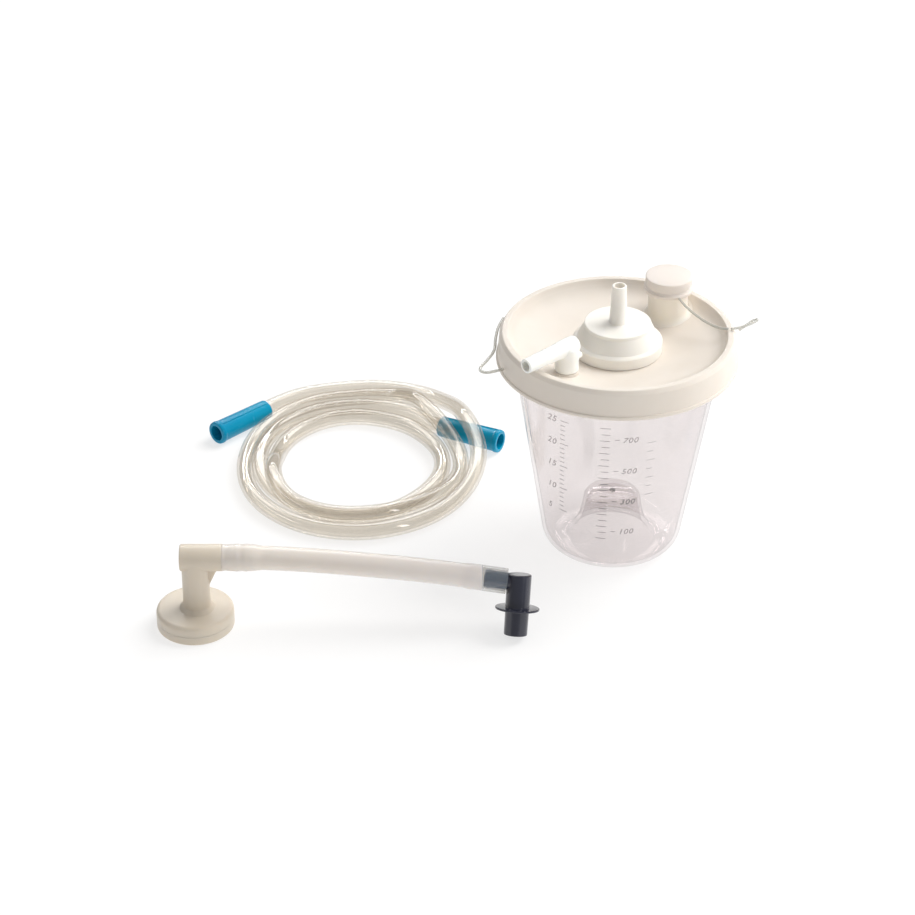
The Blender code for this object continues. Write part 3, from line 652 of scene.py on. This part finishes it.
def make_marks():
    """Graduations on the wall: millilitres in the middle, ounces left, plain ticks right."""
    bm = bmesh.new()
    for step in range(19):
        height = MARK_700 + 8.0 - step * HUNDRED_ML * 0.4
        extra = 0 if step % 2 else 1.2
        add_tick(bm, ML_TICKS_AT - extra, height, 4.6 + extra)
    for value in range(100, 800, 200):
        height = MARK_700 - (700 - value) * HUNDRED_ML / 100
        add_tick(bm, ML_LINES_AT, height, 2.8)
        add_number(bm, str(value), ML_NUMBERS_AT, height, 5.2)
    for ounce in range(5, 26):
        height = OUNCE_ZERO + ounce * OUNCE
        long_one = ounce % 5 == 0
        add_tick(bm, OUNCE_TICKS_AT, height, 5.2 if long_one else 3.0)
        if long_one:
            add_number(bm, str(ounce), OUNCE_NUMBERS_AT, height, 6.0)
    for row in range(7):
        add_tick(bm, SIDE_TICKS_AT, SIDE_TICKS_TOP - row * 6.4, 5.0 - (row % 2) * 1.4,
                 width=0.3, proud=0.08)
    marks = object_of("graduations", bm, angle=40)
    keep(marks, MARK_LOOK, "canister", "clear_plastic")


def dish_height(radius):
    """The height of the lid's dish at a distance from its middle."""
    for (near, low), (far, high) in zip(DISH, DISH[1:]):
        if radius <= far:
            return low + (high - low) * (radius - near) / (far - near)
    return DISH[-1][1]


def on_dish(name, outline, at, level, blend=5.0):
    """A turned piece whose foot follows the sloping dish; level is the dish's height under it."""
    item = lathe(name, outline, at, steps=72)
    for vert in item.data.vertices:
        rise = vert.co.z / MM - level
        if rise < blend:
            reach = (Vector((vert.co.x, vert.co.y)) / MM - CANISTER_AT.xy).length
            share = 1.0 if rise < 0 else (1.0 - rise / blend) ** 2
            vert.co.z += share * (dish_height(reach) - level) * MM
    return item


def make_lid():
    """The dished lid with its rim and skirt, and the neck and boss that stand in its dish."""
    rim_in = RIM_RADIUS - 2.9
    side = [(rim_in, RIM_TOP, 0.7), (RIM_RADIUS + 0.4, RIM_TOP, 1.0),
            (RIM_RADIUS + 1.9, RIM_TOP - 2.4, 1.2), (SKIRT_RADIUS - 0.1, SKIRT_FOOT + 2.3, 0.4),
            (SKIRT_RADIUS + 0.7, SKIRT_FOOT + 1.9, 0.5), (SKIRT_RADIUS + 0.7, SKIRT_FOOT, 0.6),
            (SKIRT_RADIUS - 1.6, SKIRT_FOOT, 0.5), (SKIRT_RADIUS - 2.5, SKIRT_FOOT + 2.8),
            (CUP_FLANGE_RADIUS + 0.5, CUP_TOP), (CUP_FLANGE_RADIUS + 0.4, RIM_TOP - 2.8),
            (RIM_RADIUS - 1.2, RIM_TOP - 2.2), (RIM_RADIUS - 2.4, RIM_TOP - 2.2),
            (60.9, 134.9), (60.1, 133.0), (57.5, 133.0), (57.1, 127.4), (55.8, 127.4),
            (55.6, 131.4)]
    side += [(radius, height - 2.0) for radius, height in reversed(DISH[:4])]
    dish = [tuple(p) for p in smooth_line(DISH, 40)]
    lid = lathe("lid_shell", rounded(side + dish), CANISTER_AT, steps=160)
    drill(lid, NECK_BORE, 115, 160, NECK_AT, steps=64)
    drill(lid, BOSS_BORE, 115, 160, ELBOW_AT)
    keep(lid, LID_LOOK, "lid_assembly", "white_plastic", "lid")
    level = dish_height((NECK_AT - CANISTER_AT).length)
    flare = [(NECK_RADIUS + NECK_FLARE * (1 - math.sin(t)),
              level - SUNK + NECK_FLARE * (1 - math.cos(t)))
             for t in (math.radians(10 * step) for step in range(9, -1, -1))]
    neck = rounded([(NECK_BORE, NECK_TOP, 0.3), (NECK_RADIUS, NECK_TOP, 0.8)] + flare
                   + [(NECK_RADIUS + NECK_FLARE, level - 1.0), (NECK_BORE, level - 1.0)])
    keep(on_dish("spout_neck", neck, NECK_AT, level), NECK_PAINTED_LIGHT_LOOK, "lid_assembly", "white_plastic")
    level = dish_height((ELBOW_AT - CANISTER_AT).length)
    boss = rounded([(BOSS_BORE, 139.0), (5.0, 139.0, 0.5), (5.0, 132.8), (BOSS_RADIUS, 132.8, 0.5),
                    (BOSS_RADIUS, level - 1.0), (BOSS_BORE, level - 1.0)])
    keep(on_dish("elbow_boss", boss, ELBOW_AT, level, 1.0), LID_LOOK, "lid_assembly",
         "white_plastic")


def make_port():
    """The stepped vacuum port in the middle of the lid, with its spigot."""
    outline = [(2.9, 169.0, 0.3), (4.1, 169.0, 0.8), (5.0, 147.0), (5.5, 146.0),
               (7.2, 145.5), (17.6, 145.5), (18.9, 145.5, 0.6), (19.1, 143.6, 0.5),
               (20.4, 141.6), (23.0, 135.9), (24.5, 135.3, 0.4), (25.4, 134.6, 0.6),
               (25.4, 128.5), (23.2, 128.5), (23.0, 133.4), (17.8, 142.4),
               (16.8, 143.3), (2.9, 143.3)]
    port = lathe("vacuum_port_shell", rounded(outline), CANISTER_AT, steps=128)
    keep(port, PORT_LOOK, "lid_assembly", "port_plastic", "vacuum_port")


def make_cap():
    """The push-on cap with its lower bead and the plug inside."""
    outline = [(0, 156.8), (6.0, 156.75), (12.2, 156.4), (13.4, 156.1, 0.6), (13.4, 151.4, 0.3),
               (13.0, 151.0, 0.2), (13.0, 150.5, 0.2), (13.4, 150.1, 0.3), (13.4, 149.6, 0.3),
               (14.3, 149.2, 0.7), (14.3, 147.2, 0.7), (11.8, 147.2, 0.3), (11.8, 154.1),
               (8.0, 154.1), (7.8, 150.2, 0.3), (6.5, 150.2, 0.3), (6.3, 154.5), (0, 154.5)]
    cap = lathe("spout_cap_shell", rounded(outline), NECK_AT, steps=96)
    keep(cap, SPOUT_PAINTED_LIGHT_LOOK, "spout_cap", "white_plastic", "spout_cap")


def on_canister(points):
    """Points given from the canister's foot, as points of the frame."""
    return [Vector(point) + CANISTER_AT for point in points]


def make_wires():
    """The cap's tether, its loop at the rim, and the pull loop on the skirt."""
    tether = ((35.7, 21.6, 148.6), (40.0, 16.4, 145.6), (46.9, 9.4, 142.7), (53.1, 4.2, 141.3),
              (58.0, 1.2, 140.8), (62.6, 0.4, 140.7))
    item, line = strap("cap_tether_strap", on_canister(tether), 48, TETHER_RADIUS)
    keep(item, STRAP_LOOK, None, "translucent_strap", "cap_tether")
    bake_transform(item)
    hairpin = ((64.2, 0.5, 140.7), (69.0, 2.2, 140.6), (75.0, 5.6, 140.9), (79.3, 9.9, 140.7),
               (79.6, 12.6, 140.0), (77.6, 12.4, 139.4), (73.4, 8.8, 138.4), (69.3, 4.9, 137.6))
    loop, _ = strap("tether_loop_strap", on_canister(hairpin), 72, TETHER_RADIUS)
    keep(loop, STRAP_LOOK, "lid_assembly", "translucent_strap", "tether_loop")
    pull = ((-64.3, 24.7, 133.9), (-67.4, 16.0, 132.6), (-69.0, 7.0, 130.6), (-69.8, -2.4, 128.7),
            (-73.4, -11.8, 128.1), (-77.4, -20.0, 128.0), (-77.6, -24.6, 128.0),
            (-74.2, -26.4, 128.0), (-68.6, -24.4, 128.0), (-64.9, -22.6, 128.0))
    loop, _ = strap("skirt_pull_strap", on_canister(pull), 96, PULL_RADIUS)
    keep(loop, STRAP_LOOK, "lid_assembly", "translucent_strap", "skirt_pull_loop")


def make_elbow():
    """The swivelling elbow: an upright body, its arm and the lug behind it, all bored."""
    heading = Vector((math.cos(ELBOW_TURN), math.sin(ELBOW_TURN), 0))
    start = ELBOW_AT + Vector((0, 0, ELBOW_AXIS))
    body = rounded([(0, 150.2), (4.2, 149.9, 1.4), (6.75, 147.2, 2.2),
                    (6.75, ELBOW_FOOT + 0.1, 0.3), (0, ELBOW_FOOT)])
    elbow = lathe("patient_elbow_shell", body, ELBOW_AT, steps=72)
    arm = rounded([(0, ELBOW_ARM), (4.15, ELBOW_ARM, 0.5), (4.6, 10.0), (5.1, 3.0),
                   (5.1, -6.2, 1.6), (0, -6.4)])
    join(elbow, lathe("arm", arm, start, heading, 64))
    lug = rounded([(0, 10.6), (1.9, 10.6, 0.6), (2.2, 0), (0, 0)])
    join(elbow, lathe("lug", lug, ELBOW_AT + Vector((0, 0, LUG_HEIGHT)), -heading, 32))
    drill(elbow, 5.35, ELBOW_FOOT - 5, 139.6, ELBOW_AT, steps=64)
    drill(elbow, 3.2, ELBOW_FOOT - 5, 149.0, ELBOW_AT)
    drill(elbow, 2.9, -1.0, ELBOW_ARM + 5, start, heading)
    keep(elbow, ELBOW_LOOK, "patient_elbow", "port_plastic", "patient_elbow")


# ---------------------------------------------------------------- filter, hose and connector

def make_filter():
    """The filter's two shells, with the neck, barrel, barb and web on the upper one."""
    base = rounded([(21.9, 5.55, 0.12), (21.9, 0, 1.5), (5.0, 0, 0.3), (4.8, 4.2), (6.4, 4.2),
                    (6.5, 1.8), (18.6, 1.8), (18.6, 4.4), (19.6, 4.6), (19.6, 5.55)])
    item = lathe("filter_base_shell", base, FILTER_AT, steps=112)
    keep(item, FILTER_LOOK, "hose_set", "filter_plastic", "filter_housing_base")
    upper = rounded([(0, 11.7), (21.9, 11.7, 2.8), (21.9, 5.65, 0.12), (19.6, 5.65), (19.6, 8.1),
                     (18.0, 9.7), (0, 9.7)], 8)
    top = lathe("filter_top_shell", upper, FILTER_AT, steps=112)
    neck = rounded([(0, 44.1), (7.6, 44.1), (7.8, 14.0, 1.6), (10.4, 11.3), (10.4, 10.6),
                    (0, 10.6)], 8)
    join(top, lathe("neck", neck, FILTER_NECK, steps=72))
    centre = FILTER_NECK + Vector((0, 0, BARREL_HEIGHT))
    end = BARREL_FRONT + BARB_LENGTH
    barrel = rounded([(0, end), (4.1, end, 0.3), (5.0, end - 4.0, 0.2), (4.3, end - 4.1),
                      (5.0, end - 9.0, 0.2), (4.3, end - 9.1), (4.5, BARREL_FRONT),
                      (7.65, BARREL_FRONT, 0.25), (7.65, -8.1, 0.9), (0, -8.1)])
    join(top, lathe("barrel", barrel, centre, (1, 0, 0), 72))
    bm = bmesh.new()
    web = ((4.0, 24.5), (7.6, 27.5), (12.6, 38.5), (12.6, 41.0), (4.0, 41.0))
    face = bm.faces.new([bm.verts.new((x, -1.3, z)) for x, z in web])
    swept = bmesh.ops.extrude_face_region(bm, geom=[face])["geom"]
    bmesh.ops.translate(bm, vec=(0, 2.6, 0),
                        verts=[v for v in swept if isinstance(v, bmesh.types.BMVert)])
    bm.transform(Matrix.Translation(FILTER_NECK))
    join(top, object_of("web", bm))
    drill(top, 4.9, 7.7, 46.1, FILTER_NECK)
    drill(top, 3.6, -4.9, end + 4, centre, (1, 0, 0))
    keep(top, FILTER_LOOK, "hose_set", "filter_plastic", "filter_housing_top")


def make_hose():
    """The hose, wider where it is stretched over the barb and over the pump connector's arm."""
    stations = 120
    line = smooth_line(HOSE_ROUTE, stations)
    reach = [0.0]
    for first, second in zip(line, line[1:]):
        reach.append(reach[-1] + (second - first).length)
    outer, inner = [], []
    for run in reach:
        left = reach[-1] - run
        at_start = max(0.0, min(1.0, (OVER_BARB - run) / 5))
        at_end = max(0.0, min(1.0, (OVER_ARM - left) / 4))
        bulge = sum(math.exp(-((run - barb) / 1.3) ** 2) for barb in BARBS_AT)
        grip = math.exp(-((run - 2.0) / 1.6) ** 2)
        outer.append(HOSE_RADIUS + 0.8 * at_start + 0.45 * at_end + 0.22 * bulge - 0.25 * grip)
        inner.append(HOSE_BORE + 1.4 * at_start + 1.65 * at_end)
    hose = pipe("connecting_hose_tube", line, outer, inner, 48)
    keep(hose, HOSE_LOOK, "hose_set", "silicone_hose", "connecting_hose")
    return hose, [point * MM for point in line]


def make_pump_connector():
    """The leaning connector with its flange, and the arm that the hose is pushed over."""
    heading = (Vector(HOSE_ROUTE[-2]) - HUB).normalized()
    low, high = -ARM_HEIGHT, PUMP_CONNECTOR_LENGTH - ARM_HEIGHT
    flange = low + FLANGE_HEIGHT
    outline = rounded([(0, high), (5.6, high, 0.3), (PUMP_CONNECTOR_RADIUS, high - 0.2, 0.7),
                       (PUMP_CONNECTOR_RADIUS, flange + 1.4, 0.4),
                       (FLANGE_RADIUS, flange + 1.3, 0.45), (FLANGE_RADIUS, flange + 0.1, 0.45),
                       (6.75, flange, 0.4), (6.6, low, 0.5), (0, low)])
    body = lathe("pump_connector_shell", outline, HUB, LEAN, 96)
    arm = rounded([(0, 19.5), (4.7, 19.5, 0.3), (5.4, 16.5, 0.2), (4.9, 16.4), (4.9, 0), (0, 0)])
    join(body, lathe("arm", arm, HUB, heading, 64))
    drill(body, 4.7, low - 4, 0, HUB, LEAN, 64)
    drill(body, 3.3, -1.0, 23.5, HUB, heading)
    return keep(body, NAVY_LOOK, "pump_connector", "navy_plastic", "pump_connector")


# ---------------------------------------------------------------- patient tube

# The tube's turns, seen from above and going clockwise: angle in degrees, distance from the
# coil's middle, and height.
TURNS = (
    ((117, 84.6, 5.3), (90, 83.5, 5.2), (75, 83.6, 5.4), (62, 81.5, 7.0), (50, 76.5, 10.5),
     (38, 71.8, 15.6), (28, 69.2, 18.8), (20, 68.0, 19.7), (10, 69.2, 18.8), (-3, 72.0, 15.5),
     (-15, 73.6, 12.0), (-28, 74.8, 8.5), (-40, 75.8, 6.2), (-52, 77.5, 5.3), (-65, 79.6, 5.2),
     (-78, 81.3, 5.2), (-90, 82.6, 5.2), (-106, 82.6, 5.2), (-121, 81.2, 5.2),
     (-136, 79.0, 5.2), (-150, 76.5, 5.2), (-165, 73.6, 5.2), (-180, 71.6, 5.2),
     (-200, 71.3, 5.2), (-222, 72.0, 5.2), (-245, 72.8, 5.2)),
    ((90, 72.6, 5.2), (75, 70.6, 8.7), (62, 64.2, 15.6), (50, 57.5, 17.6), (35, 54.2, 16.0),
     (20, 55.9, 12.2), (8, 58.8, 8.2), (-5, 61.6, 5.8), (-18, 63.5, 5.4), (-32, 64.8, 6.5),
     (-45, 66.5, 8.8), (-60, 70.3, 11.2), (-75, 73.2, 12.1), (-90, 74.6, 12.1),
     (-105, 75.2, 12.1), (-122, 73.3, 12.6), (-135, 69.4, 14.7), (-146, 63.8, 17.2),
     (-156, 58.0, 16.4), (-166, 53.6, 11.8), (-177, 52.3, 7.4), (-190, 51.6, 5.4),
     (-207, 51.3, 5.2), (-235, 50.6, 5.2), (-255, 49.4, 5.2)),
    ((90, 48.4, 5.2), (60, 46.6, 5.2), (40, 45.7, 5.2), (20, 47.0, 5.2), (0, 49.5, 5.2),
     (-25, 53.0, 5.2), (-50, 57.2, 5.2), (-72, 63.3, 5.2), (-90, 66.2, 5.2), (-107, 67.3, 5.2),
     (-124, 65.8, 5.2), (-140, 64.4, 5.2), (-155, 64.8, 5.6), (-168, 64.0, 9.3),
     (-180, 62.7, 10.0), (-192, 61.8, 9.2), (-205, 61.6, 8.2), (-220, 61.8, 6.4),
     (-245, 62.0, 5.3)),
    ((90, 60.6, 5.2), (75, 59.9, 5.2), (62, 60.6, 5.4)),
)


def eased(line, rounds):
    """The line with its small kinks evened out; five points at each end stay put."""
    for _ in range(rounds):
        middle = [(before + 2 * here + after) / 4
                  for before, here, after in zip(line[4:-6], line[5:-5], line[6:-4])]
        line = line[:5] + middle + line[-5:]
    return line


def tube_line():
    """The middle line of the whole tube, from one connector round the coil to the other."""
    left = (LEFT_TAIL - LEFT_MOUTH).normalized()
    right = (RIGHT_TAIL - RIGHT_MOUTH).normalized()
    points = [LEFT_TAIL - left, LEFT_TAIL + 9 * left]
    for turn in TURNS:
        for angle, reach, height in turn:
            angle = math.radians(angle)
            points.append(COIL_AT + Vector((reach * math.cos(angle), reach * math.sin(angle),
                                            height)))
    points += [RIGHT_TAIL + 9 * right, RIGHT_TAIL - right]
    return eased(even_line(smooth_line(points, 1200), TUBE_STEP), rounds=20)


def make_patient_tube():
    """The clear tube, bored from end to end."""
    line = tube_line()
    count = len(line)
    tube = pipe("patient_tube", line, [TUBE_RADIUS] * count, [TUBE_BORE] * count, 28)
    keep(tube, TUBE_LOOK, "patient_tube", "clear_tube", "patient_tube_coil",
         "patient_tube_tail")
    return tube, [point * MM for point in line]


def make_tube_connector(name, mouth, tail, node):
    """A tapered connector from the tube's end to its own mouth, with a mould line along it."""
    length = (mouth - tail).length
    outline = rounded([(4.8, length, 0.4), (7.0, length, 0.8), (7.3, length - 1.6, 0.5),
                       (7.3, length - 2.4, 0.4), (6.9, length - 3.4, 0.4),
                       (6.3, 3.0, 0.4), (6.2, 0.6, 0.6), (5.6, 0, 0.2), (3.3, 0, 0.2),
                       (3.3, length - 24.0), (4.5, length - 22.0)])
    item = lathe(name, outline, tail, mouth - tail, 72)
    heading = (mouth - tail).normalized()
    across = heading.cross(Vector(Z_AXIS)).normalized()
    up = across.cross(heading)
    side = (up * 0.94 - across * 0.34).normalized()
    line = []
    for step in range(13):
        t = step / 12
        along = 1.2 + t * (length - 3.4)
        line.append(tail + heading * along + side * (6.15 + 0.72 * t))
    join(item, pipe("ridge", line, [0.55] * 13, [0] * 13, 12))
    return keep(item, TEAL_LOOK, "patient_tube", "teal_plastic", node)


# ---------------------------------------------------------------- CAD nodes that stay

def keep_cad_nodes():
    """Dresses the hidden parts, which stay as the CAD has them."""
    for node, look, slot in (("lid_gasket", RUBBER_LOOK, "seal_rubber"),
                             ("float_cage", CAGE_LOOK, "cage_plastic"),
                             ("float", FLOAT_LOOK, "float_plastic"),
                             ("float_seal", RUBBER_LOOK, "seal_rubber"),
                             ("filter_membrane", MEMBRANE_LOOK, "membrane")):
        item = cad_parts[node]
        wear(item, look)


# ---------------------------------------------------------------- stage

FLOOR_REACH = 6000.0
FLOOR_DROP = 0.0002  # keeps the floor clear of the undersides that stand on it
FLOOR_GLOW = 0.69
WORLD_GLOW = 0.39
BACKDROP_GLOW = 1.0


def make_stage():
    """A pale floor that glows a little, so that it is white but still takes shadows."""
    bm = bmesh.new()
    bmesh.ops.create_grid(bm, x_segments=1, y_segments=1, size=FLOOR_REACH)
    floor = object_of("floor", bm)
    look = Look("floor")
    tone = look.mixed(look.noise(3.0), (0.34, 0.335, 0.33, 1), (0.335, 0.33, 0.325, 1))
    shader = look.node("BsdfDiffuse", {"Color": tone}).outputs[0]
    glow = look.node("Emission", {"Color": (1, 1, 1, 1), "Strength": FLOOR_GLOW}).outputs[0]
    wear(floor, look.finish(look.node("AddShader", {0: shader, 1: glow}).outputs[0]))
    floor.location.z = -FLOOR_DROP


# Name, kind, place, point it aims at, power, and size: width and height, or a sun's angle.
LIGHTS = (
    ("key", "SUN", (1.2, 0.7, 1.6), (0, 0, 0), 2.8, math.radians(45), 0.0),
    ("softbox", "AREA", (0.75, -0.75, 0.55), (0.09, 0.02, 0.07), 1.2, 0.12, 0.6),
    ("strip", "AREA", (-0.2, 1.7, 0.95), (0, 0, 0), 9.0, 2.6, 0.06),
    ("upper_strip", "AREA", (0.0, 1.4, 1.5), (0, 0, 0), 21.0, 2.6, 0.8),
    ("side_strip", "AREA", (-1.6, 0.3, 1.1), (0, 0, 0), 4.5, 2.6, 0.05),
    ("fill", "AREA", (1.1, -0.2, 0.35), (0.1, 0, 0.12), 2.4, 0.5, 0.3),
)
REFLECTED = ("softbox", "strip", "upper_strip", "side_strip")
ONLY_REFLECTED = ("strip", "upper_strip", "side_strip")


def make_light(name, kind, at, aim, energy, size, height):
    """One lamp; the strips are seen only as reflections, and the key and fill never are."""
    lamp = bpy.data.lights.new(name, kind)
    lamp.energy = energy
    if kind == "AREA":
        lamp.shape = "RECTANGLE"
        lamp.size = size
        lamp.size_y = height
    else:
        lamp.angle = size
    made = bpy.data.objects.new(name, lamp)
    made.location = at
    made.rotation_euler = (Vector(aim) - Vector(at)).to_track_quat("-Z", "Y").to_euler()
    made.visible_glossy = name in REFLECTED
    made.visible_diffuse = name not in ONLY_REFLECTED
    bpy.context.scene.collection.objects.link(made)


def make_world():
    """Even studio surroundings, seen as plain white behind the floor."""
    world = bpy.data.worlds.new("studio")
    world.use_nodes = True
    tree = world.node_tree
    tree.nodes.clear()
    out = tree.nodes.new("ShaderNodeOutputWorld")
    mix = tree.nodes.new("ShaderNodeMixShader")
    path = tree.nodes.new("ShaderNodeLightPath")
    for index, strength in ((1, WORLD_GLOW), (2, BACKDROP_GLOW)):
        glow = tree.nodes.new("ShaderNodeBackground")
        glow.inputs["Color"].default_value = (1.0, 1.0, 1.0, 1)
        glow.inputs["Strength"].default_value = strength
        tree.links.new(glow.outputs[0], mix.inputs[index])
    tree.links.new(path.outputs["Is Camera Ray"], mix.inputs[0])
    tree.links.new(mix.outputs[0], out.inputs["Surface"])
    bpy.context.scene.world = world


make_cup()
make_marks()
make_lid()
make_port()
make_cap()
make_wires()
make_elbow()
make_filter()
hose, hose_path = make_hose()
pump_connector = make_pump_connector()
tube, tube_path = make_patient_tube()
left_connector = make_tube_connector("tube_connector_left_shell", LEFT_MOUTH, LEFT_TAIL,
                                     "tube_connector_left")
right_connector = make_tube_connector("tube_connector_right_shell", RIGHT_MOUTH, RIGHT_TAIL,
                                      "tube_connector_right")
keep_cad_nodes()
make_stage()
make_world()
for light in LIGHTS:
    make_light(*light)
bpy.context.scene.view_settings.view_transform = "Standard"
